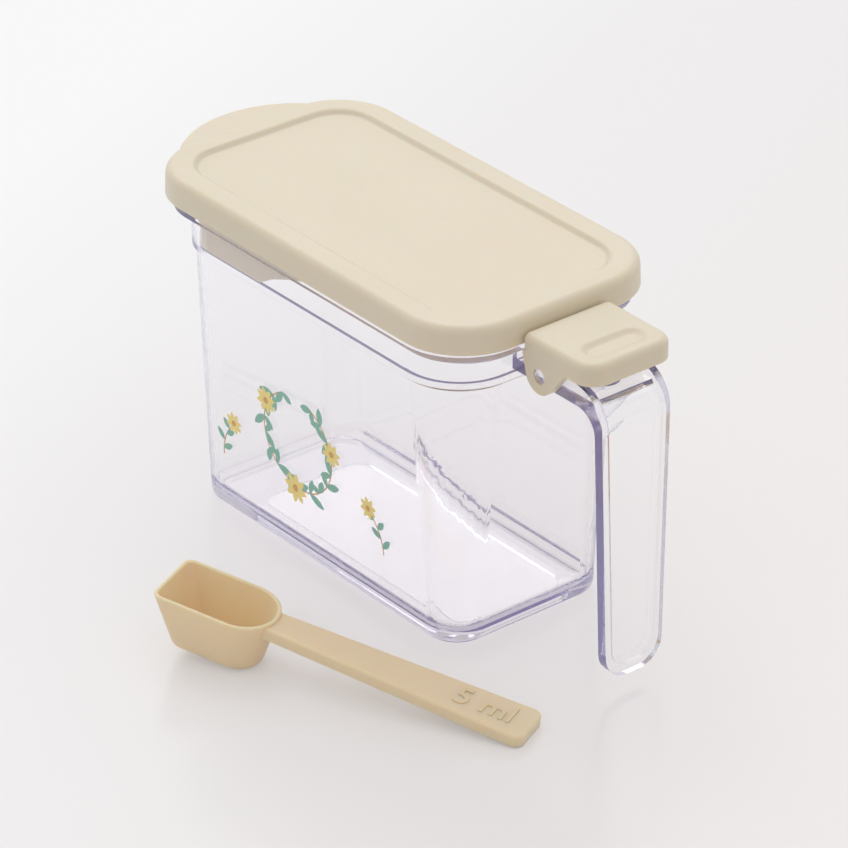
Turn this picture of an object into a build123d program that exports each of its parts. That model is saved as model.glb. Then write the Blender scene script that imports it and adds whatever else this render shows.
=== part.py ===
from build123d import *
import os

# Clear seasoning container with a hinged lid, a thumb lever, a levelling frame and a measuring spoon.
# Millimetres. The origin is the centre of the container's underside, +X points to the handle, +Z is up.

# Container walls
WALL = 2.0
FLOOR = 2.6
FOOT_LENGTH = 106.4
FOOT_WIDTH = 51.8
FOOT_CORNER = 9.0
FOOT_FILLET = 2.4
FLOOR_FILLET = 4.0
SHOULDER_Z = 75.0
SHOULDER_LENGTH = 114.2
SHOULDER_WIDTH = 59.7
SHOULDER_CORNER = 16.2
COLLAR_STEP = 1.0
COLLAR_HEIGHT = 11.0

# Recess under the base, set a little towards the handle
RECESS_LENGTH = 82.0
RECESS_WIDTH = 34.0
RECESS_X = 5.0
RECESS_DEPTH = 0.8
RECESS_CORNER = 5.0

# Lid
LID_OVERHANG_END = 7.25
LID_OVERHANG_SIDE = 5.15
LID_CORNER_GROWTH = 2.1
LID_DRAFT = 0.3
LID_ABOVE_LEDGE = 3.2
LID_HEIGHT = 7.3
LID_EDGE_FILLET = 2.4
SKIRT_WALL = 1.6
PLATE_WALL = 1.8
BORDER = 8.6
PANEL_DEPTH = 1.2
PANEL_SLOPE = 1.3
PANEL_TOP_FILLET = 1.2
PANEL_FOOT_FILLET = 0.9
TAB_REACH = 8.6
TAB_CHORD = 42.0
TAB_THICKNESS = 2.4
TAB_DROP = 1.0
RIM_GAP_SIDE = 0.4
RIM_GAP_TOP = 0.4

# Pivot of the lid and its lever
PIVOT_FROM_LID = 7.15
PIVOT_BELOW_LID = 5.8
STUB_RADIUS = 2.0
PIVOT_CLEARANCE = 0.05
EAR_RADIUS = 4.9
CHEEK_RADIUS = 4.0
EAR_GAP = 0.4
STUB_INSET = 0.4

# Thumb lever
LEVER_GAP = 0.4
LEVER_REACH = 26.15
LEVER_WIDTH = 28.0
LEVER_BELOW_LID = 3.5
LEVER_DEPTH = 5.6
LEVER_PLATE = 2.2
LEVER_FRONT_WALL = 1.4
LEVER_REAR_CORNER = 2.2
LEVER_FRONT_CORNER = 5.6
LEVER_INNER_CORNER = 4.2
LEVER_EDGE_FILLET = 2.0
EAR_TAIL = 9.5
EAR_ROOT = 0.6
DIMPLE_LENGTH = 19.2
DIMPLE_WIDTH = 7.8
DIMPLE_DEPTH = 0.8
DIMPLE_SLOPE = 1.7
DIMPLE_FILLET = 1.8
DIMPLE_FROM_FRONT = 7.5

# Tongue of the lid under the lever, with its snap pegs
TONGUE_REACH = 5.5
TONGUE_CORNER = 3.0
TONGUE_WIDTH = 19.0
TONGUE_THICKNESS = 1.4
PEG_BEHIND_PIVOT = 1.0
PEG_SPACING = 11.0
PEG_RADIUS = 1.5
PEG_CLEARANCE = 0.1
PEG_HEAD = 0.5
PEG_HEAD_LENGTH = 0.8
SEAT_GAP = 0.15

# Handle
ARM_WIDTH = 22.0
ARM_BELOW_PIVOT = 4.4
ARM_ABOVE_PIVOT = 2.6
WEB = 2.6
RIB = 2.1
GRIP_BEYOND_LEVER = 1.3
BEND_DROP = 7.0
GRIP_LEAN = 1.1
GRIP_END_Z = 4.3
GRIP_END_WIDTH = 18.0
GRIP_END_CORNER = 7.0
GRIP_THICKNESS = 2.9
GRIP_POCKET = 1.2
GRIP_END_RIM = 3.0
BEND_INSIDE_RADIUS = 6.5
BEND_OUTSIDE_RADIUS = 10.0
BEND_FALL = 3.3
BEND_START = 5.5
POCKET_SET_BACK = 4.6
POCKET_CORNER_RISE = 4.0
POCKET_FROM_COLLAR = 0.6
SEAT_BOSS_RADIUS = 4.4
SEAT_BOSS_HEIGHT = 1.1
SEAT_BOSS_REACH = 7.7

# Levelling frame inside the collar
FRAME_WALL = 1.6
FRAME_GAP = 0.3
FRAME_REST = 0.1
FRAME_END_X = -24.3
FRAME_FLANGE = 1.4
BLADE_THICKNESS = 2.6
BLADE_ABOVE_SHOULDER = 5.0
BLADE_RISE = 2.6
FRAME_ARM_REACH = 27.3
FRAME_FOOT = 5.0
FRAME_RISE_START = 10.5
FRAME_RISE = 3.2
FRAME_TIP = 6.0
FRAME_TIP_UNDER = 3.6
FRAME_TIP_NOSE = 1.0
NOTCH_WIDTH = 0.9
NOTCH_FROM_BLADE = 2.0

# Measuring spoon, laid beside the container
BOWL_LENGTH = 31.0
BOWL_WIDTH = 20.2
BOWL_DEPTH = 16.0
BOWL_FOOT_START = 5.0
BOWL_FOOT_END = 28.0
BOWL_FOOT_WIDTH = 13.4
BOWL_CORNER = 2.6
BOWL_FOOT_CORNER = 4.4
BOWL_WALL = 1.1
BOWL_RIM_FILLET = 0.35
BOWL_FOOT_FILLET = 3.2
SPOON_LENGTH = 102.0
SPOON_NECK_WIDTH = 9.1
SPOON_END_WIDTH = 14.3
SPOON_HANDLE_THICKNESS = 3.2
SPOON_HANDLE_DROP = 0.7
SPOON_END_CORNER = 2.6
SPOON_GRIP_FILLET = 0.9
SPOON_X = 4.2
SPOON_Y = -77.5
SPOON_TURN = 25.2
SPOON_TILT = 8.9


def rounded(length, width, radius, z, x=0.0):
    """Rounded rectangle, lying flat at height z."""
    return Pos(x, 0, z) * RectangleRounded(length, width, radius)


def between(low, high):
    """Straight-sided solid between two flat outlines."""
    return loft([low, high], ruled=True)


def prism(length, width, radius, z0, z1, x=0.0):
    """Upright rounded block from z0 to z1."""
    return extrude(rounded(length, width, radius, z0, x), amount=z1 - z0)


def side_prism(face, y0, y1):
    """Solid from a side-view outline drawn with its x along X and its y along Z."""
    turned = Plane(origin=(0, y1, 0), x_dir=(1, 0, 0), z_dir=(0, -1, 0)) * face
    return extrude(turned, amount=y1 - y0)


def edges_at(solid, z):
    """Edges that lie wholly at height z."""
    return solid.edges().filter_by(
        lambda e: abs(e.bounding_box().min.Z - z) + abs(e.bounding_box().max.Z - z) < 1e-3
    )


# Sizes that follow from the ones above
collar_length = SHOULDER_LENGTH + 2 * COLLAR_STEP
collar_width = SHOULDER_WIDTH + 2 * COLLAR_STEP
collar_corner = SHOULDER_CORNER + COLLAR_STEP
ledge_z = SHOULDER_Z + COLLAR_HEIGHT
lid_length = SHOULDER_LENGTH + 2 * LID_OVERHANG_END
lid_width = SHOULDER_WIDTH + 2 * LID_OVERHANG_SIDE
lid_corner = SHOULDER_CORNER + LID_CORNER_GROWTH
lid_bottom_z = ledge_z + LID_ABOVE_LEDGE
lid_top_z = lid_bottom_z + LID_HEIGHT
skirt_inner_length = lid_length - 2 * SKIRT_WALL
skirt_inner_width = lid_width - 2 * SKIRT_WALL
skirt_inner_corner = lid_corner - SKIRT_WALL
rim_length = skirt_inner_length - 2 * RIM_GAP_SIDE
rim_width = skirt_inner_width - 2 * RIM_GAP_SIDE
rim_corner = skirt_inner_corner - RIM_GAP_SIDE
border_under_z = lid_top_z - PLATE_WALL
rim_top_z = border_under_z - RIM_GAP_TOP
panel_z = lid_top_z - PANEL_DEPTH
inner_shoulder_z = SHOULDER_Z + WALL
inner_ledge_z = ledge_z + WALL
pivot_x = lid_length / 2 + PIVOT_FROM_LID
pivot_z = lid_bottom_z - PIVOT_BELOW_LID
lever_front_x = lid_length / 2 + LEVER_REACH
lever_top_z = lid_top_z - LEVER_BELOW_LID
ear_tail_x = pivot_x + EAR_TAIL
tongue_end_x = pivot_x + TONGUE_REACH
peg_x = pivot_x - PEG_BEHIND_PIVOT
arm_bottom_z = pivot_z - ARM_BELOW_PIVOT
arm_top_z = pivot_z + ARM_ABOVE_PIVOT
bend_x = lever_front_x + GRIP_BEYOND_LEVER
bend_z = arm_bottom_z - BEND_DROP
bend_start_x = pivot_x + BEND_START
grip_end_x = bend_x + GRIP_LEAN
seat_boss_x = pivot_x + SEAT_BOSS_REACH
notch_x = FRAME_END_X + NOTCH_FROM_BLADE
arm_end_x = FRAME_END_X + FRAME_ARM_REACH
blade_bottom_z = SHOULDER_Z + BLADE_ABOVE_SHOULDER

# Container: tapered box, collar and stepped rim
foot = rounded(FOOT_LENGTH, FOOT_WIDTH, FOOT_CORNER, 0)
shoulder = rounded(SHOULDER_LENGTH, SHOULDER_WIDTH, SHOULDER_CORNER, SHOULDER_Z)
collar_face = rounded(collar_length, collar_width, collar_corner, SHOULDER_Z + COLLAR_STEP)
box = between(foot, shoulder)
box = fillet(edges_at(box, 0), FOOT_FILLET)
flare = between(shoulder, collar_face)
collar = prism(collar_length, collar_width, collar_corner, SHOULDER_Z + COLLAR_STEP, ledge_z)
rim = prism(rim_length, rim_width, rim_corner, ledge_z, rim_top_z)
outside = box + flare + collar + rim

taper = (SHOULDER_LENGTH - FOOT_LENGTH) * FLOOR / SHOULDER_Z
inner_foot = rounded(
    FOOT_LENGTH - 2 * WALL + taper,
    FOOT_WIDTH - 2 * WALL + taper,
    FOOT_CORNER - WALL,
    FLOOR,
)
inner_top = rounded(
    SHOULDER_LENGTH - 2 * WALL,
    SHOULDER_WIDTH - 2 * WALL,
    SHOULDER_CORNER - WALL,
    inner_shoulder_z,
)
cavity = between(inner_foot, inner_top)
cavity = fillet(edges_at(cavity, FLOOR), FLOOR_FILLET)
throat = prism(
    collar_length - 2 * WALL,
    collar_width - 2 * WALL,
    collar_corner - WALL,
    inner_shoulder_z,
    inner_ledge_z,
)
mouth = prism(rim_length - 2 * WALL, rim_width - 2 * WALL, rim_corner - WALL, inner_ledge_z, rim_top_z + 1)
recess = prism(RECESS_LENGTH, RECESS_WIDTH, RECESS_CORNER, -1, RECESS_DEPTH, RECESS_X)
shell = outside - cavity - throat - mouth - recess

# A narrow slit through each long rim takes the lug of the levelling frame
for side in (-1, 1):
    slit_y = side * (rim_width - WALL) / 2
    slit = Pos(notch_x, slit_y, rim_top_z) * Box(NOTCH_WIDTH, WALL + 1, 2 * (rim_top_z - inner_ledge_z))
    shell = shell - slit

# Handle: an arm and a grip of channel section, seen from the side
grip_slope = (grip_end_x - bend_x) / (bend_z - GRIP_END_Z)
top_x = bend_x - grip_slope * (arm_top_z - bend_z)
inner_x = bend_x - GRIP_THICKNESS
root_x = collar_length / 2 - WALL / 2
outline = Polygon(
    (root_x, arm_bottom_z),
    (inner_x - grip_slope * (arm_bottom_z - bend_z), arm_bottom_z),
    (grip_end_x - GRIP_THICKNESS, GRIP_END_Z),
    (grip_end_x, GRIP_END_Z),
    (top_x, arm_top_z - BEND_FALL),
    (bend_start_x, arm_top_z),
    (root_x, arm_top_z),
    align=None,
)
inner_bend = outline.vertices().sort_by_distance((inner_x, arm_bottom_z, 0))[0]
outline = fillet(inner_bend, BEND_INSIDE_RADIUS)
outer_bend = outline.vertices().sort_by_distance((top_x, arm_top_z, 0))[0]
outline = fillet(outer_bend, BEND_OUTSIDE_RADIUS)
strap = side_prism(outline, -ARM_WIDTH / 2, ARM_WIDTH / 2)

# Front outline of the handle: parallel at the arm, narrowing to a rounded end
front = Polygon(
    (-GRIP_END_WIDTH / 2, GRIP_END_Z),
    (GRIP_END_WIDTH / 2, GRIP_END_Z),
    (ARM_WIDTH / 2, arm_bottom_z),
    (ARM_WIDTH / 2, arm_top_z + 1),
    (-ARM_WIDTH / 2, arm_top_z + 1),
    (-ARM_WIDTH / 2, arm_bottom_z),
    align=None,
)
front = fillet(front.vertices().group_by(Axis.Y)[0], GRIP_END_CORNER)
front_plane = Plane(origin=(root_x, 0, 0), x_dir=(0, 1, 0), z_dir=(1, 0, 0))
strap = strap & extrude(front_plane * front, amount=grip_end_x)

# The channel: everything outside the web and between the two ribs
web_face_x = bend_x - GRIP_POCKET
pocket_side = Polygon(
    (collar_length / 2 + POCKET_FROM_COLLAR, arm_bottom_z + WEB),
    (top_x - POCKET_SET_BACK, arm_bottom_z + WEB),
    (web_face_x, bend_z + POCKET_CORNER_RISE),
    (grip_end_x - GRIP_POCKET, GRIP_END_Z + GRIP_END_RIM),
    (grip_end_x + 5, GRIP_END_Z + GRIP_END_RIM),
    (grip_end_x + 5, arm_top_z + 5),
    (collar_length / 2 + POCKET_FROM_COLLAR, arm_top_z + 5),
    align=None,
)
pocket = side_prism(pocket_side, -ARM_WIDTH / 2, ARM_WIDTH / 2)
inner_front = Polygon(
    (-GRIP_END_WIDTH / 2 + RIB, GRIP_END_Z + GRIP_END_RIM),
    (GRIP_END_WIDTH / 2 - RIB, GRIP_END_Z + GRIP_END_RIM),
    (ARM_WIDTH / 2 - RIB, arm_bottom_z),
    (ARM_WIDTH / 2 - RIB, arm_top_z + 6),
    (-ARM_WIDTH / 2 + RIB, arm_top_z + 6),
    (-ARM_WIDTH / 2 + RIB, arm_bottom_z),
    align=None,
)
inner_front = fillet(inner_front.vertices().group_by(Axis.Y)[0], GRIP_END_CORNER - RIB)
pocket = pocket & extrude(front_plane * inner_front, amount=grip_end_x + 6)
handle = strap - pocket

# Cheeks and pivot stubs on the two ribs, and the round seat on the web
pivot = Pos(pivot_x, pivot_z) * Circle(CHEEK_RADIUS)
stub = Pos(pivot_x, pivot_z) * Circle(STUB_RADIUS)
stub_reach = LEVER_WIDTH / 2 - STUB_INSET
for side in (-1, 1):
    inner_y, outer_y = sorted((side * (ARM_WIDTH / 2 - RIB), side * ARM_WIDTH / 2))
    handle = handle + side_prism(pivot, inner_y, outer_y)
    near_y, far_y = sorted((side * (ARM_WIDTH / 2 - RIB), side * stub_reach))
    handle = handle + side_prism(stub, near_y, far_y)
boss = Pos(seat_boss_x, 0, arm_bottom_z + WEB - 0.5) * Cylinder(
    SEAT_BOSS_RADIUS, SEAT_BOSS_HEIGHT + 0.5, align=(Align.CENTER, Align.CENTER, Align.MIN)
)
container_body = shell + handle + boss

# Lid: bordered plate with a drafted skirt, a half-moon tab and a tongue
lid_low = rounded(lid_length, lid_width, lid_corner, lid_bottom_z)
lid_high = rounded(
    lid_length - 2 * LID_DRAFT,
    lid_width - 2 * LID_DRAFT,
    lid_corner - LID_DRAFT,
    lid_top_z,
)
plate = between(lid_low, lid_high)
plate = fillet(edges_at(plate, lid_top_z), LID_EDGE_FILLET)

# The tab is a circular segment that grows out of the end of the skirt
chord_half = TAB_CHORD / 2
tab_radius = (chord_half**2 + TAB_REACH**2) / (2 * TAB_REACH)
tab_centre_x = -lid_length / 2 - TAB_REACH + tab_radius
tab_top_z = lid_top_z - TAB_DROP
tab = Pos(tab_centre_x, 0, tab_top_z - TAB_THICKNESS) * Cylinder(
    tab_radius, TAB_THICKNESS, align=(Align.CENTER, Align.CENTER, Align.MIN)
)
tab = fillet(tab.edges(), TAB_THICKNESS * 0.45)
tab_keep = Pos(-lid_length / 2 - TAB_REACH, 0, tab_top_z) * Box(
    2 * TAB_REACH + 2 * LID_EDGE_FILLET + 1, 2 * TAB_CHORD, 4 * TAB_THICKNESS
)
tab = tab & tab_keep

tongue = Pos(tongue_end_x, 0, lid_bottom_z) * Box(
    tongue_end_x - lid_length / 2 + SKIRT_WALL / 2,
    TONGUE_WIDTH,
    TONGUE_THICKNESS,
    align=(Align.MAX, Align.CENTER, Align.MIN),
)
tongue = fillet(tongue.edges().filter_by(Axis.Z).sort_by(Axis.X)[-2:], TONGUE_CORNER)
peg_places = [(peg_x, -PEG_SPACING / 2), (peg_x, PEG_SPACING / 2)]
for x, y in peg_places:
    tongue = tongue - Pos(x, y, lid_bottom_z) * Cylinder(PEG_RADIUS + PEG_CLEARANCE, 4 * TONGUE_THICKNESS)

panel_low = rounded(
    lid_length - 2 * BORDER,
    lid_width - 2 * BORDER,
    lid_corner - BORDER,
    panel_z,
)
panel_high = rounded(
    lid_length - 2 * (BORDER - PANEL_SLOPE),
    lid_width - 2 * (BORDER - PANEL_SLOPE),
    lid_corner - BORDER + PANEL_SLOPE,
    lid_top_z,
)
dish = between(panel_low, panel_high)
under_border = prism(
    skirt_inner_length,
    skirt_inner_width,
    skirt_inner_corner,
    lid_bottom_z - 5,
    border_under_z,
)
pad_margin = BORDER - PLATE_WALL
pad = prism(
    lid_length - 2 * pad_margin,
    lid_width - 2 * pad_margin,
    lid_corner - pad_margin,
    panel_z - PLATE_WALL,
    border_under_z + PLATE_WALL / 2,
)
lid = plate + tab - dish
step_edges = edges_at(lid, lid_top_z).filter_by(
    lambda e: e.bounding_box().size.X < lid_length - 2 * BORDER + 2 * PANEL_SLOPE
    and abs(e.center().X) < lid_length / 2 - BORDER + PANEL_SLOPE + 0.1
    and abs(e.center().Y) < lid_width / 2 - BORDER + PANEL_SLOPE + 0.1
)
lid = fillet(step_edges, PANEL_TOP_FILLET)
lid = fillet(edges_at(lid, panel_z), PANEL_FOOT_FILLET)
lid = lid - (under_border - pad) + tongue

# Thumb lever: hollow plate with side walls that run down into two ears
lever_rear_x = lid_length / 2 + LEVER_GAP
lever_length = lever_front_x - lever_rear_x
lever_under_z = lever_top_z - LEVER_DEPTH
plan = Pos(lever_rear_x + lever_length / 2, 0, lever_under_z) * Rectangle(lever_length, LEVER_WIDTH)
plan = fillet(plan.vertices().sort_by(Axis.X)[:2], LEVER_REAR_CORNER)
plan = fillet(plan.vertices().sort_by(Axis.X)[-2:], LEVER_FRONT_CORNER)
lever = extrude(plan, amount=LEVER_DEPTH)
lever = fillet(edges_at(lever, lever_top_z), LEVER_EDGE_FILLET)
ear_inner_y = ARM_WIDTH / 2 + EAR_GAP
plate_under_z = lever_top_z - LEVER_PLATE
hollow_front_x = lever_front_x - LEVER_FRONT_WALL
hollow_plan = Pos(hollow_front_x, 0, lever_under_z - 2 * EAR_RADIUS) * Rectangle(
    2 * lever_length, 2 * ear_inner_y, align=(Align.MAX, Align.CENTER)
)
front_corners = hollow_plan.vertices().sort_by(Axis.X)[-2:]
hollow_plan = fillet(front_corners, LEVER_INNER_CORNER)
hollow = extrude(hollow_plan, amount=plate_under_z - lever_under_z + 2 * EAR_RADIUS)

ear_head = Pos(pivot_x, pivot_z) * Circle(EAR_RADIUS)
ear_root = Pos((lever_rear_x + EAR_ROOT + ear_tail_x) / 2, lever_under_z + EAR_ROOT) * Rectangle(
    ear_tail_x - lever_rear_x - EAR_ROOT, 2 * EAR_ROOT
)
ear_face = make_hull(ear_head.edges() + ear_root.edges())
ear = side_prism(ear_face, -LEVER_WIDTH / 2, LEVER_WIDTH / 2)
lever = lever + ear - hollow
bore = side_prism(Pos(pivot_x, pivot_z) * Circle(STUB_RADIUS + PIVOT_CLEARANCE), -LEVER_WIDTH, LEVER_WIDTH)
lever = lever - bore

# The shallow thumb dimple lies across the lever near its front
dimple_x = lever_front_x - DIMPLE_FROM_FRONT
dimple_top = Pos(dimple_x, 0, lever_top_z) * SlotOverall(DIMPLE_LENGTH, DIMPLE_WIDTH, rotation=90)
dimple_foot = Pos(dimple_x, 0, lever_top_z - DIMPLE_DEPTH) * SlotOverall(
    DIMPLE_LENGTH - 2 * DIMPLE_SLOPE, DIMPLE_WIDTH - 2 * DIMPLE_SLOPE, rotation=90
)
lever = lever - between(dimple_foot, dimple_top)
dimple_edges = edges_at(lever, lever_top_z).filter_by(
    lambda e: abs(e.center().X - dimple_x) < DIMPLE_WIDTH / 2 + 0.1
    and abs(e.center().Y) < DIMPLE_LENGTH / 2 + 0.1
    and e.bounding_box().size.Y < DIMPLE_LENGTH
    and e.bounding_box().size.X < DIMPLE_WIDTH + 0.1
)
lever = fillet(dimple_edges, DIMPLE_FILLET)
lever = fillet(edges_at(lever, lever_top_z - DIMPLE_DEPTH), DIMPLE_FILLET)

# Two snap pegs hold the lid's tongue under the plate
peg_foot_z = lid_bottom_z - SEAT_GAP
for x, y in peg_places:
    shank = Pos(x, y, peg_foot_z - PEG_HEAD_LENGTH) * Cylinder(
        PEG_RADIUS,
        plate_under_z - peg_foot_z + PEG_HEAD_LENGTH + 0.5,
        align=(Align.CENTER, Align.CENTER, Align.MIN),
    )
    head = Pos(x, y, peg_foot_z - PEG_HEAD_LENGTH) * Cone(
        PEG_RADIUS * 0.7,
        PEG_RADIUS + PEG_HEAD,
        PEG_HEAD_LENGTH,
        align=(Align.CENTER, Align.CENTER, Align.MIN),
    )
    lever = lever + shank + head
thumb_lever = lever

# Levelling frame: a U-shaped band in the collar with a straight blade and two tapering arms
band_length = collar_length - 2 * WALL - 2 * FRAME_GAP
band_width = collar_width - 2 * WALL - 2 * FRAME_GAP
band_corner = collar_corner - WALL - FRAME_GAP
band_bottom_z = inner_shoulder_z + FRAME_REST
band_top_z = inner_ledge_z + FRAME_REST
band = prism(band_length, band_width, band_corner, band_bottom_z, band_top_z + FRAME_FLANGE)
band = band - prism(
    band_length - 2 * FRAME_WALL,
    band_width - 2 * FRAME_WALL,
    band_corner - FRAME_WALL,
    band_bottom_z - 1,
    band_top_z + FRAME_FLANGE + 1,
)
flange = prism(
    rim_length - 2 * WALL - 2 * FRAME_GAP,
    rim_width - 2 * WALL - 2 * FRAME_GAP,
    rim_corner - WALL - FRAME_GAP,
    band_top_z,
    band_top_z + FRAME_FLANGE,
)
flange = flange - prism(
    band_length - 2 * FRAME_WALL,
    band_width - 2 * FRAME_WALL,
    band_corner - FRAME_WALL,
    band_top_z - 1,
    band_top_z + FRAME_FLANGE + 1,
)
frame_side = Polygon(
    (-collar_length, band_bottom_z - 1),
    (FRAME_END_X + FRAME_FOOT, band_bottom_z - 1),
    (FRAME_END_X + FRAME_FOOT, band_bottom_z),
    (FRAME_END_X + FRAME_RISE_START, band_bottom_z + FRAME_RISE),
    (arm_end_x - FRAME_TIP, band_top_z - FRAME_TIP_UNDER),
    (arm_end_x, band_top_z - FRAME_TIP_NOSE),
    (arm_end_x, band_top_z + FRAME_FLANGE + 1),
    (-collar_length, band_top_z + FRAME_FLANGE + 1),
    align=None,
)
frame_keep = side_prism(frame_side, -collar_width, collar_width)
levelling_frame = (band + flange) & frame_keep
blade_top_z = band_top_z + FRAME_FLANGE + BLADE_RISE
blade = Pos(FRAME_END_X - BLADE_THICKNESS / 2, 0, blade_bottom_z) * Box(
    BLADE_THICKNESS,
    band_width - FRAME_WALL,
    blade_top_z - blade_bottom_z,
    align=(Align.CENTER, Align.CENTER, Align.MIN),
)
blade = chamfer(blade.edges().group_by(Axis.Z)[-1].filter_by(Axis.Y), BLADE_THICKNESS * 0.3)
levelling_frame = levelling_frame + blade

# Spoon: the bowl is drawn mouth up at its own origin, then laid down beside the container
def bowl_outline(start, end, width, corner, z):
    """Flat front, straight sides and a half-round back."""
    radius = width / 2
    with BuildSketch(Plane.XY.offset(z)) as sketch:
        with BuildLine():
            Polyline((end - radius, radius), (start, radius), (start, -radius), (end - radius, -radius))
            ThreePointArc((end - radius, -radius), (end, 0), (end - radius, radius))
        make_face()
        fillet(sketch.vertices().group_by(Axis.X)[0], corner)
    return sketch.sketch


bowl_outside = between(
    bowl_outline(BOWL_FOOT_START, BOWL_FOOT_END, BOWL_FOOT_WIDTH, BOWL_FOOT_CORNER, -BOWL_DEPTH),
    bowl_outline(0, BOWL_LENGTH, BOWL_WIDTH, BOWL_CORNER, 0),
)
bowl_outside = fillet(edges_at(bowl_outside, -BOWL_DEPTH), BOWL_FOOT_FILLET)
bowl_inside = between(
    bowl_outline(
        BOWL_FOOT_START + BOWL_WALL,
        BOWL_FOOT_END - BOWL_WALL,
        BOWL_FOOT_WIDTH - 2 * BOWL_WALL,
        BOWL_FOOT_CORNER - BOWL_WALL,
        -BOWL_DEPTH + BOWL_WALL,
    ),
    bowl_outline(
        BOWL_WALL,
        BOWL_LENGTH - BOWL_WALL,
        BOWL_WIDTH - 2 * BOWL_WALL,
        BOWL_CORNER - BOWL_WALL / 2,
        0.0,
    ),
)
bowl_inside = fillet(edges_at(bowl_inside, -BOWL_DEPTH + BOWL_WALL), BOWL_FOOT_FILLET - BOWL_WALL)
grip_plan = Polygon(
    (BOWL_LENGTH - 2 * BOWL_WALL, -SPOON_NECK_WIDTH / 2),
    (SPOON_LENGTH, -SPOON_END_WIDTH / 2),
    (SPOON_LENGTH, SPOON_END_WIDTH / 2),
    (BOWL_LENGTH - 2 * BOWL_WALL, SPOON_NECK_WIDTH / 2),
    align=None,
)
grip_plan = fillet(grip_plan.vertices().sort_by(Axis.X)[-2:], SPOON_END_CORNER)
grip_low_z = -SPOON_HANDLE_DROP - SPOON_HANDLE_THICKNESS
spoon_grip = extrude(Pos(0, 0, grip_low_z) * grip_plan, amount=SPOON_HANDLE_THICKNESS)
spoon_grip = fillet(spoon_grip.edges().group_by(Axis.Z)[-1], SPOON_GRIP_FILLET)
spoon = bowl_outside + spoon_grip - bowl_inside
spoon = fillet(edges_at(spoon, 0), BOWL_RIM_FILLET)
placing = Location((SPOON_X, SPOON_Y, 0), (0, 0, SPOON_TURN)) * Location((0, 0, 0), (0, SPOON_TILT, 0))
spoon = placing * spoon
measuring_spoon = Pos(0, 0, -spoon.bounding_box().min.Z) * spoon

parts = {
    "container_body": container_body,
    "lid": lid,
    "thumb_lever": thumb_lever,
    "levelling_frame": levelling_frame,
    "measuring_spoon": measuring_spoon,
}
os.makedirs("parts", exist_ok=True)
for name, shape in parts.items():
    solids = shape.solids()
    print(name, "solids", len(solids), "volume", round(shape.volume))
    export_step(solids[0] if len(solids) == 1 else Compound(children=solids), f"parts/{name}.step")
print("spoon bowl holds", round(bowl_inside.volume / 1000, 2), "ml")
print("container holds", round((cavity.volume + throat.volume) / 1000), "ml")
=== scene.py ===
# %% [markdown]
# # A clear seasoning container with a cream lid and a spoon
# The container is a box moulded in clear styrene. A cream lid closes it, a thumb lever
# tips the lid, a levelling frame sits in the mouth, and a small spoon lies in front.
# The solids come from CAD and are not moved here. This lesson gives them their finishes,
# adds what is printed and moulded on them, and sets up the studio.

# %% Load the solids
import math

import bmesh
import bpy
from mathutils import Matrix, Vector


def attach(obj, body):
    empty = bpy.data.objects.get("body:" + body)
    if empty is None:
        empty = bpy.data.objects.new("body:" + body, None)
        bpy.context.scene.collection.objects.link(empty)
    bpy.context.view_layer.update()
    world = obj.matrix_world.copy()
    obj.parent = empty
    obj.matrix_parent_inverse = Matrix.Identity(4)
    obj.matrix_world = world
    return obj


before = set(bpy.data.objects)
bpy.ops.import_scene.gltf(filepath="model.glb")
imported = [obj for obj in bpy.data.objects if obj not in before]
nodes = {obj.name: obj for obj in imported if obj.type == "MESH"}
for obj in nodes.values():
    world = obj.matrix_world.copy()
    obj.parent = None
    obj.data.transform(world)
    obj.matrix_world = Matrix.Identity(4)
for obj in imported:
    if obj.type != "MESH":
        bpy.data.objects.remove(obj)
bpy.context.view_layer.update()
MM = 0.001
print("solids:", sorted(nodes))

# %% [markdown]
# ## Camera
# The picture was taken with a long lens from above the handle's corner, so upright edges
# stay almost parallel. A 209 mm lens from 1.27 m away gives the same view. The camera is
# aimed with two angles, as on a tripod: the azimuth round the object and the height.

# %% Camera
AZIMUTH, ELEVATION = math.radians(50.96), math.radians(29.54)
camera_data = bpy.data.cameras.new("camera")
camera = bpy.data.objects.new("camera", camera_data)
bpy.context.scene.collection.objects.link(camera)
camera_data.sensor_width = 36.0
camera_data.lens = 36.0 * 4930.14 / 848
camera_data.clip_start, camera_data.clip_end = 0.05, 20.0
camera.location = (0.86501, -0.69324, 0.66198)
towards = Vector((
    -math.sin(AZIMUTH) * math.cos(ELEVATION),
    math.cos(AZIMUTH) * math.cos(ELEVATION),
    -math.sin(ELEVATION),
))
camera.rotation_mode = "QUATERNION"
camera.rotation_quaternion = towards.to_track_quat("-Z", "Y")
bpy.context.scene.camera = camera
print("lens in mm:", round(camera_data.lens, 1))

# %% [markdown]
# ## Tools for materials
# Colours are written as sRGB hex values, but Blender computes in linear light, so one
# function converts them. A second one adds a node, sets its values and links its inputs.

# %% Colour and node helpers
def colour(code):
    """An sRGB hex value as linear RGBA."""
    parts = [int(code[i : i + 2], 16) / 255 for i in (1, 3, 5)]
    return (*(p / 12.92 if p <= 0.04045 else ((p + 0.055) / 1.055) ** 2.4 for p in parts), 1.0)


def new_material(name):
    """An empty node material with its output."""
    material = bpy.data.materials.new(name)
    material.use_nodes = True
    material.node_tree.nodes.clear()
    return material, material.node_tree


def add(tree, kind, settings=None, **inputs):
    """A node of a kind, with its settings, and its inputs set or linked by name."""
    node = tree.nodes.new(kind)
    for key, value in (settings or {}).items():
        setattr(node, key, value)
    for key, value in inputs.items():
        socket = node.inputs[int(key[1:])] if key[1:].isdigit() else node.inputs[key.replace("_", " ")]
        if isinstance(value, bpy.types.NodeSocket):
            tree.links.new(value, socket)
        else:
            socket.default_value = value
    return node


print("a mid grey is", round(colour("#808080")[0], 3), "in linear light")

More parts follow.
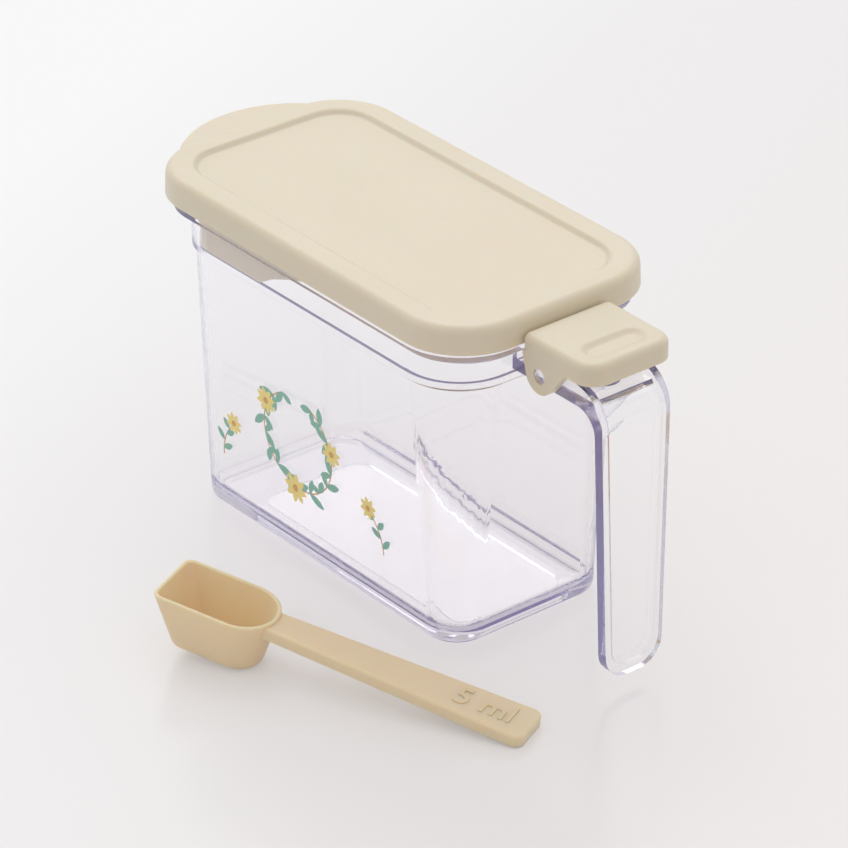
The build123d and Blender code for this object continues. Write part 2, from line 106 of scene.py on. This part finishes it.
# %% [markdown]
# ## Cream polypropylene
# Lid, lever, frame and spoon are injection-moulded polypropylene, coloured cream all through.
# Polypropylene is slightly waxy: its gloss is soft, and light goes into it and comes out
# warmer, most of all where a wall is thin, as in the spoon. So the finish has a soft gloss,
# subsurface with a longer path for red than for blue, and a faint unevenness of colour and
# polish where the melt flowed. The polished mould leaves ripples too fine to see; they are
# drawn 2 mm wide so that the highlights break up a little. No moulded edge is truly sharp, so
# a bevel node turns the shading round the last 0.3 mm of each.

# %% Cream polypropylene
def cream_polypropylene(
    name, tint, shade, roughness, flow_mm, glow, depth_mm, edge_mm=0.3,
):
    """Moulded cream polypropylene.

    flow_mm is the width of the flow clouds and glow the share of light that goes in.
    """
    material, tree = new_material(name)
    where = add(tree, "ShaderNodeTexCoord").outputs["Object"]
    clouds = add(
        tree, "ShaderNodeTexNoise", {},
        Vector=where, Scale=1000 / flow_mm, Detail=3.0, Roughness=0.55,
    )
    blend = add(
        tree, "ShaderNodeMix", {"data_type": "RGBA"},
        _0=clouds.outputs["Fac"], _6=colour(tint), _7=colour(shade),
    )
    polish = add(
        tree, "ShaderNodeMapRange", {},
        Value=clouds.outputs["Fac"], From_Min=0.3, From_Max=0.7,
        To_Min=roughness - 0.03, To_Max=roughness + 0.04,
    )
    ripple = add(tree, "ShaderNodeTexNoise", {}, Vector=where, Scale=1000 / 2.0, Detail=2.0)
    edges = add(tree, "ShaderNodeBevel", {"samples": 6}, Radius=edge_mm * MM)
    relief = add(
        tree, "ShaderNodeBump", {},
        Height=ripple.outputs["Fac"], Strength=0.02, Distance=0.0002, Normal=edges.outputs["Normal"],
    )
    plastic = add(
        tree, "ShaderNodeBsdfPrincipled", {"subsurface_method": "RANDOM_WALK"},
        Base_Color=blend.outputs[2], Roughness=polish.outputs["Result"], IOR=1.49,
        Normal=relief.outputs["Normal"],
    )
    plastic.inputs["Subsurface Weight"].default_value = glow
    plastic.inputs["Subsurface Radius"].default_value = (1.0, 0.6, 0.3)
    plastic.inputs["Subsurface Scale"].default_value = depth_mm * MM
    add(tree, "ShaderNodeOutputMaterial", {}, Surface=plastic.outputs["BSDF"])
    return material


lid_cream = cream_polypropylene("polypropylene_lid_cream", "#E4DAC3", "#E0D5BC", 0.36, 40, 0.5, 2.0)
lever_cream = cream_polypropylene("polypropylene_lever_cream", "#E2D8C1", "#DED3B9", 0.36, 18, 0.5, 2.0)
frame_cream = cream_polypropylene("polypropylene_frame_cream", "#E4DAC3", "#DFD4BB", 0.38, 24, 0.4, 1.5)
spoon_cream = cream_polypropylene("polypropylene_spoon_cream", "#EFDDBC", "#EBD8B3", 0.34, 22, 0.7, 2.6)
figure_cream = cream_polypropylene("polypropylene_figure_cream", "#F0D9B2", "#ECD3A8", 0.34, 22, 0.1, 1.0, 0.1)
print("cream finishes:", [m.name for m in (lid_cream, lever_cream, frame_cream, spoon_cream, figure_cream)])

# %% [markdown]
# ## Clear styrene
# The container is clear styrene resin with a trace of violet toner, which hides the yellow of
# the raw resin. Through a 2 mm wall the tint hardly shows, but light that is trapped inside a
# wall and runs along it picks it up, so edges look navy. A light volume absorption gives the
# first. The navy edges are painted shade: a little violet diffuse colour, only where a ray meets
# the skin from inside at a glancing angle. Lamps would cast the dark shadow of solid glass, so
# shadow rays are let through a pale tint instead.

# %% Clear styrene
def clear_styrene(name):
    """Clear styrene with a violet toner in its depth and painted navy shade on its edges."""
    material, tree = new_material(name)
    where = add(tree, "ShaderNodeTexCoord").outputs["Object"]
    haze = add(tree, "ShaderNodeTexNoise", {}, Vector=where, Scale=1000 / 30, Detail=2.0)
    polish = add(
        tree, "ShaderNodeMapRange", {},
        Value=haze.outputs["Fac"], From_Min=0.3, From_Max=0.7, To_Min=0.01, To_Max=0.03,
    )
    resin = add(
        tree, "ShaderNodeBsdfPrincipled", {},
        Base_Color=colour("#FFFFFF"), Roughness=polish.outputs["Result"], IOR=1.57,
    )
    resin.inputs["Transmission Weight"].default_value = 1.0
    facing = add(tree, "ShaderNodeLayerWeight", {}, Blend=0.5)
    inside = add(tree, "ShaderNodeNewGeometry")
    # painted shade: a violet diffuse colour is mixed in where a ray meets the skin from inside at a glancing angle,
    # so the edges turn navy
    glancing = add(
        tree, "ShaderNodeMapRange", {},
        Value=facing.outputs["Facing"], From_Min=0.24, From_Max=0.30, To_Min=0.0, To_Max=0.30,
    )
    edge_painted_shade_mask = add(
        tree, "ShaderNodeMath", {"operation": "MULTIPLY"},
        _0=glancing.outputs["Result"], _1=inside.outputs["Backfacing"],
    )
    navy_edge_painted_shade = add(tree, "ShaderNodeBsdfDiffuse", {}, Color=colour("#A9A4CE"))
    body = add(
        tree, "ShaderNodeMixShader", {},
        _0=edge_painted_shade_mask.outputs[0], _1=resin.outputs["BSDF"], _2=navy_edge_painted_shade.outputs["BSDF"],
    )
    passes = add(tree, "ShaderNodeBsdfTransparent", {}, Color=colour("#FDFCFE"))
    rays = add(tree, "ShaderNodeLightPath")
    soft = add(
        tree, "ShaderNodeMath", {"operation": "MAXIMUM"},
        _0=rays.outputs["Is Shadow Ray"], _1=rays.outputs["Is Diffuse Ray"],
    )
    mixed = add(
        tree, "ShaderNodeMixShader", {},
        _0=soft.outputs[0], _1=body.outputs["Shader"], _2=passes.outputs["BSDF"],
    )
    toner = add(tree, "ShaderNodeVolumeAbsorption", {}, Color=(0.50, 0.40, 0.86, 1.0), Density=11.0)
    add(tree, "ShaderNodeOutputMaterial", {}, Surface=mixed.outputs["Shader"], Volume=toner.outputs["Volume"])
    return material


styrene = clear_styrene("clear_styrene")
print("clear finish:", styrene.name)

# %% [markdown]
# ## Finishes on the solids
# The solids come as fine triangles that keep the exact normals of the CAD surfaces, so fillets
# already shade as one curved surface and nothing has to be smoothed. Each one only gets its
# finish.

# %% Dress the solids
def dress(node, material):
    """Gives a CAD solid its finish."""
    solid = nodes[node]
    solid.data.materials.clear()
    solid.data.materials.append(material)
    for face in solid.data.polygons:
        face.material_index = 0
    return solid


dress("container_body", styrene)
dress("lid", lid_cream)
dress("thumb_lever", lever_cream)
dress("levelling_frame", frame_cream)
dress("measuring_spoon", spoon_cream)
print("triangles:", {n: len(o.data.polygons) for n, o in nodes.items()})

# %% [markdown]
# ## A print on the long wall
# The near wall carries a small screen print. Ink lies on the plastic as a film of its own, so
# each ink is a thin piece 0.03 mm thick, one coat over the other, seen from inside too. The
# wall leans outwards as it rises, so the print is drawn flat, in millimetres, and then laid on
# the wall by one matrix: along the wall, up the wall, and out of it.

# %% Place of the print
FOOT_HALF_WIDTH, SHOULDER_HALF_WIDTH, SHOULDER_HEIGHT = 25.9, 29.85, 75.0
up_wall = Vector((0, FOOT_HALF_WIDTH - SHOULDER_HALF_WIDTH, SHOULDER_HEIGHT)).normalized()
along_wall = Vector((1, 0, 0))
out_of_wall = along_wall.cross(up_wall)
on_wall = Matrix.Translation(Vector((0, -FOOT_HALF_WIDTH, 0)) * MM) @ Matrix((
    (*(MM * Vector((along_wall.x, up_wall.x, out_of_wall.x))), 0),
    (*(MM * Vector((along_wall.y, up_wall.y, out_of_wall.y))), 0),
    (*(MM * Vector((along_wall.z, up_wall.z, out_of_wall.z))), 0),
    (0, 0, 0, 1),
))
INK = 0.03
print("the wall leans by", round(math.degrees(math.atan2(-up_wall.y, up_wall.z)), 1), "degrees")

# %% [markdown]
# Three drawing helpers are enough. A disc scaled long and pinched at its tips is a leaf, a ring
# of slim leaves is a blossom, and a short line swept round a centre is a curved stem.

# %% Drawing helpers
LEAF_LEVELS, LEVEL_STEP = 7, 0.003


def leaf(shape, x, y, length, width, turn):
    """A pointed leaf with its foot at x, y. Neighbours lie at slightly different heights."""
    disc = bmesh.ops.create_circle(shape, cap_ends=True, segments=20, radius=0.5)["verts"]
    for corner in disc:
        corner.co.y *= width * max(0.0, 1 - (2 * corner.co.x) ** 2) ** 0.35
        corner.co.x *= length
    bmesh.ops.translate(shape, verts=disc, vec=(length / 2, 0, 0))
    bmesh.ops.rotate(shape, verts=disc, cent=(0, 0, 0), matrix=Matrix.Rotation(math.radians(turn), 3, "Z"))
    step = len(shape.faces) % LEAF_LEVELS * LEVEL_STEP
    bmesh.ops.translate(shape, verts=disc, vec=(x, y, step))


def blossom(shape, x, y, size, petals, turn):
    """Slim petals about x, y, with gaps between them."""
    for petal in range(petals):
        angle = turn + 360 * petal / petals
        foot = size * 0.09
        foot_x = x + foot * math.cos(math.radians(angle))
        foot_y = y + foot * math.sin(math.radians(angle))
        leaf(shape, foot_x, foot_y, size * 0.44, size * 0.23, angle)


def heart(shape, x, y, size):
    """The round middle of a blossom."""
    disc = bmesh.ops.create_circle(shape, cap_ends=True, segments=16, radius=size / 2)["verts"]
    bmesh.ops.translate(shape, verts=disc, vec=(x, y, 0))


def stem(shape, x, y, radius, start, sweep, width):
    """A line of ink swept round x, y."""
    line = bmesh.ops.create_vert(shape, co=(x + radius - width / 2, y, 0))["vert"]
    line += bmesh.ops.create_vert(shape, co=(x + radius + width / 2, y, 0))["vert"]
    edge = shape.edges.new(line)
    bmesh.ops.rotate(shape, verts=line, cent=(x, y, 0), matrix=Matrix.Rotation(math.radians(start), 3, "Z"))
    steps = max(6, round(abs(sweep) / 5))
    bmesh.ops.spin(shape, geom=[*line, edge], cent=(x, y, 0), axis=(0, 0, 1), angle=math.radians(sweep), steps=steps)


def print_piece(name, shape, material, layer):
    """Turns a flat drawing into a film of ink on the wall. layer counts the coats under it."""
    bmesh.ops.recalc_face_normals(shape, faces=shape.faces[:])
    for face in shape.faces:
        if face.normal.z < 0:
            face.normal_flip()
    lifted = bmesh.ops.extrude_face_region(shape, geom=shape.faces[:])["geom"]
    bmesh.ops.translate(shape, verts=[g for g in lifted if isinstance(g, bmesh.types.BMVert)], vec=(0, 0, INK))
    bmesh.ops.translate(shape, verts=shape.verts[:], vec=(0, 0, 0.01 + layer * 1.2 * INK))
    bmesh.ops.recalc_face_normals(shape, faces=shape.faces[:])
    mesh = bpy.data.meshes.new(name)
    shape.to_mesh(mesh)
    shape.free()
    mesh.transform(on_wall)
    mesh.materials.append(material)
    piece = bpy.data.objects.new(name, mesh)
    bpy.context.scene.collection.objects.link(piece)
    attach(piece, "container")
    return piece


print("ink is", INK, "mm thick")

# %% [markdown]
# ## Screen inks
# Screen ink is a dull, opaque paint. Its edge and density vary with the mesh of the screen, so
# each ink has a grain, drawn 0.5 mm wide so that it shows at all.

# %% Screen inks
def screen_ink(name, tint, thin):
    """Dull screen ink with a grain between a full and a thin coat."""
    material, tree = new_material(name)
    where = add(tree, "ShaderNodeTexCoord").outputs["Object"]
    grain = add(tree, "ShaderNodeTexNoise", {}, Vector=where, Scale=1000 / 0.5, Detail=2.0)
    coat = add(
        tree, "ShaderNodeMix", {"data_type": "RGBA"},
        _0=grain.outputs["Fac"], _6=colour(tint), _7=colour(thin),
    )
    paint = add(tree, "ShaderNodeBsdfPrincipled", {}, Base_Color=coat.outputs[2], Roughness=0.55)
    add(tree, "ShaderNodeOutputMaterial", {}, Surface=paint.outputs["BSDF"])
    return material


green_ink = screen_ink("screen_ink_teal_green", "#86BEA9", "#9CCDBB")
yellow_ink = screen_ink("screen_ink_mustard_yellow", "#FBE27C", "#FCEBA4")
brown_ink = screen_ink("screen_ink_caramel_brown", "#DDA25E", "#E6B57C")
print("inks:", green_ink.name, yellow_ink.name, brown_ink.name)

# %% [markdown]
# The drawing is a round wreath of one twig, left open at the top, with leaves in pairs and
# three blossoms, and a small sprig low on either side of it.

# %% Draw the wreath
WREATH_X, WREATH_Z, WREATH_RADIUS = -7.0, 35.0, 14.0
LEAF_PAIRS = 17
twigs, leaves, petals, hearts = bmesh.new(), bmesh.new(), bmesh.new(), bmesh.new()
stem(twigs, WREATH_X, WREATH_Z, WREATH_RADIUS, 112, 316, 0.4)
for number in range(LEAF_PAIRS):
    angle = 112 + number * 19.4
    foot_x = WREATH_X + WREATH_RADIUS * math.cos(math.radians(angle))
    foot_z = WREATH_Z + WREATH_RADIUS * math.sin(math.radians(angle))
    size = 5.2 + 1.1 * math.sin(number * 2.3)
    side = 52 if number % 2 else 122
    leaf(leaves, foot_x, foot_z, size, 2.3, angle + side)
    leaf(leaves, foot_x, foot_z, size * 0.8, 1.9, angle + side - 86 + 180)
for angle, size in ((150, 6.4), (262, 7.4), (12, 6.0)):
    x = WREATH_X + (WREATH_RADIUS + 0.6) * math.cos(math.radians(angle))
    z = WREATH_Z + (WREATH_RADIUS + 0.6) * math.sin(math.radians(angle))
    blossom(petals, x, z, size * 1.15, 8, angle)
    heart(hearts, x, z, size * 0.3)
print("leaves on the wreath:", 2 * LEAF_PAIRS)

# %% Draw the two sprigs
for x, z, lean in ((-40.0, 17.0, 1), (27.0, 17.0, -1)):
    stem(twigs, x + 14 * lean, z, 14, 180 if lean > 0 else 0, -52 * lean, 0.4)
    for step, (rise, out) in enumerate(((2.0, 1), (4.6, -1), (7.0, 1), (9.0, -1))):
        swing = math.asin(rise / 14)
        foot_x = x + lean * 14 * (1 - math.cos(swing))
        leaf(leaves, foot_x, z + rise, 4.4 - 0.3 * step, 1.9, 90 - 52 * out - 10 * lean)
    blossom(petals, x + 5.4 * lean, z + 11.6, 6.2, 8, 15)
    heart(hearts, x + 5.4 * lean, z + 11.6, 1.7)
for layer, (name, shape, ink) in enumerate((
    ("print_twigs", twigs, brown_ink),
    ("print_leaves", leaves, green_ink),
    ("print_petals", petals, yellow_ink),
    ("print_hearts", hearts, brown_ink),
)):
    piece = print_piece(name, shape, ink, layer)
    print(name, "faces:", len(piece.data.polygons))

# %% [markdown]
# ## Raised figures on the spoon
# The spoon's handle carries its plain volume, 5 ml, in low raised figures near its end.
# Text is typed as a curve with a little thickness, turned into a mesh, and laid on the
# handle's top. The handle is turned and tilted, so the matrix turns and tilts the same way;
# its height comes from the highest point of the bowl's rim, the highest of the spoon's points in its own frame.

# %% Raised figures
SPOON_X, SPOON_Y, SPOON_TURN, SPOON_TILT = 4.2, -77.5, 25.2, 8.9
HANDLE_DROP, SPOON_LENGTH = 0.7, 102.0
turned = Matrix.Rotation(math.radians(SPOON_TURN), 4, "Z") @ Matrix.Rotation(math.radians(SPOON_TILT), 4, "Y")
flat = turned.inverted()
highest = max((flat @ v.co).z for v in nodes["measuring_spoon"].data.vertices)
start = flat @ Vector((SPOON_X * MM, SPOON_Y * MM, 0))
lift = (highest - start.z) / math.cos(math.radians(SPOON_TILT))
on_handle = Matrix.Translation((SPOON_X * MM, SPOON_Y * MM, lift)) @ turned
text = bpy.data.curves.new("spoon_figures", "FONT")
text.body = "5 ml"
text.size = 0.0094
text.extrude = 0.00016
text.bevel_depth = 0.00008
text.align_x, text.align_y = "RIGHT", "CENTER"
typed = bpy.data.objects.new("typed", text)
bpy.context.scene.collection.objects.link(typed)
bpy.context.view_layer.update()
letters = bpy.data.meshes.new_from_object(typed)
bpy.data.objects.remove(typed)
letters.transform(on_handle @ Matrix.Translation(((SPOON_LENGTH - 5) * MM, 0, -HANDLE_DROP * MM + 0.0001)))
figures = bpy.data.objects.new("spoon_figures", letters)
bpy.context.scene.collection.objects.link(figures)
letters.materials.clear()
letters.materials.append(figure_cream)
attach(figures, "spoon")
print("figures:", len(letters.polygons), "faces, lift", round(lift * 1000, 2), "mm")

# %% [markdown]
# ## Studio
# The object stands on a glossy off-white sweep under soft light. The sweep is one large plane,
# a little shiny, so that the base shows faintly in it. Light is painted into its colour: it is
# almost white far on the left, where the backdrop light falls, and a warm pale grey in front.
# A share of what the camera sees of it is painted light in the plain backdrop colour, which
# keeps the shadow light as in a white studio.

# %% Floor
BACKDROP_SHARE = 0.34


def studio_floor():
    """A glossy off-white floor with painted light that whitens it towards the far left."""
    mesh = bpy.data.meshes.new("studio_floor")
    shape = bmesh.new()
    bmesh.ops.create_grid(shape, x_segments=1, y_segments=1, size=6.0)
    shape.to_mesh(mesh)
    shape.free()
    floor = bpy.data.objects.new("studio_floor", mesh)
    bpy.context.scene.collection.objects.link(floor)
    material, tree = new_material("glossy_white_acrylic_floor")
    where = add(tree, "ShaderNodeTexCoord").outputs["Object"]
    along = add(tree, "ShaderNodeVectorMath", {"operation": "DOT_PRODUCT"}, _0=where, _1=(-2.24, -1.02, 0.0))
    place = add(tree, "ShaderNodeMath", {"operation": "ADD", "use_clamp": True}, _0=along.outputs["Value"], _1=0.5)
    # painted light: the floor's colour runs from warm pale grey in front to almost white far left, where the
    # backdrop light falls
    painted_light_ramp = add(tree, "ShaderNodeValToRGB", {}, _0=place.outputs[0])
    painted_light_ramp.color_ramp.elements[0].position = 0.25
    painted_light_ramp.color_ramp.elements[0].color = colour("#EEEAE8")
    painted_light_ramp.color_ramp.elements[1].position = 1.0
    painted_light_ramp.color_ramp.elements[1].color = colour("#F9F9F9")
    middle = painted_light_ramp.color_ramp.elements.new(0.68)
    middle.color = colour("#F0EEEE")
    surface = add(
        tree, "ShaderNodeBsdfPrincipled", {},
        Base_Color=painted_light_ramp.outputs["Color"], Roughness=0.22, IOR=1.45,
    )
    # painted light: camera, glossy and transmission rays see a share of glow in the ramp colour, which lightens the
    # shadow
    backdrop_painted_light = add(tree, "ShaderNodeEmission", {}, Color=painted_light_ramp.outputs["Color"], Strength=1.0)
    rays = add(tree, "ShaderNodeLightPath")
    seen = add(
        tree, "ShaderNodeMath", {"operation": "MAXIMUM"},
        _0=rays.outputs["Is Camera Ray"], _1=rays.outputs["Is Glossy Ray"],
    )
    seen = add(
        tree, "ShaderNodeMath", {"operation": "MAXIMUM"},
        _0=seen.outputs[0], _1=rays.outputs["Is Transmission Ray"],
    )
    share = add(tree, "ShaderNodeMath", {"operation": "MULTIPLY"}, _0=seen.outputs[0], _1=BACKDROP_SHARE)
    lit = add(
        tree, "ShaderNodeMixShader", {},
        _0=share.outputs[0], _1=surface.outputs["BSDF"], _2=backdrop_painted_light.outputs["Emission"],
    )
    add(tree, "ShaderNodeOutputMaterial", {}, Surface=lit.outputs["Shader"])
    mesh.materials.append(material)
    return floor


floor = studio_floor()
print("floor:", floor.name)

# %% [markdown]
# ## Light
# A large softbox high on the far left gives the broad sheen on the lid and a soft shadow to the
# near right. The room is white, brighter on that side and dimmer behind the camera, so that
# clear edges and skirts have something darker to show.

# %% Lamps and room
def softbox(name, place, aim, size, watts, tint):
    """A rectangular area lamp at a place, aimed at a point."""
    data = bpy.data.lights.new(name, "AREA")
    data.shape = "RECTANGLE"
    data.size, data.size_y = size
    data.energy = watts
    data.color = colour(tint)[:3]
    lamp = bpy.data.objects.new(name, data)
    bpy.context.scene.collection.objects.link(lamp)
    lamp.location = place
    lamp.rotation_mode = "QUATERNION"
    lamp.rotation_quaternion = (Vector(aim) - Vector(place)).to_track_quat("-Z", "Y")
    return lamp


softbox("key_softbox", (-1.9, 1.0, 2.6), (0, 0, 0), (2.6, 2.6), 27, "#FFFFFF")
world = bpy.data.worlds.new("white_room")
bpy.context.scene.world = world
world.use_nodes = True
world.node_tree.nodes.clear()
tree = world.node_tree
direction = add(tree, "ShaderNodeTexCoord").outputs["Generated"]
side = add(tree, "ShaderNodeVectorMath", {"operation": "DOT_PRODUCT"}, _0=direction, _1=(-0.45, 0.35, 0.82))
level = add(
    tree, "ShaderNodeMapRange", {"interpolation_type": "SMOOTHSTEP"},
    Value=side.outputs["Value"], From_Min=-0.6, From_Max=0.9, To_Min=0.59, To_Max=0.90,
)
room = add(tree, "ShaderNodeBackground", {}, Color=colour("#FBFBFD"), Strength=level.outputs["Result"])
add(tree, "ShaderNodeOutputWorld", {}, Surface=room.outputs["Background"])
bpy.context.scene.view_settings.view_transform = "Standard"
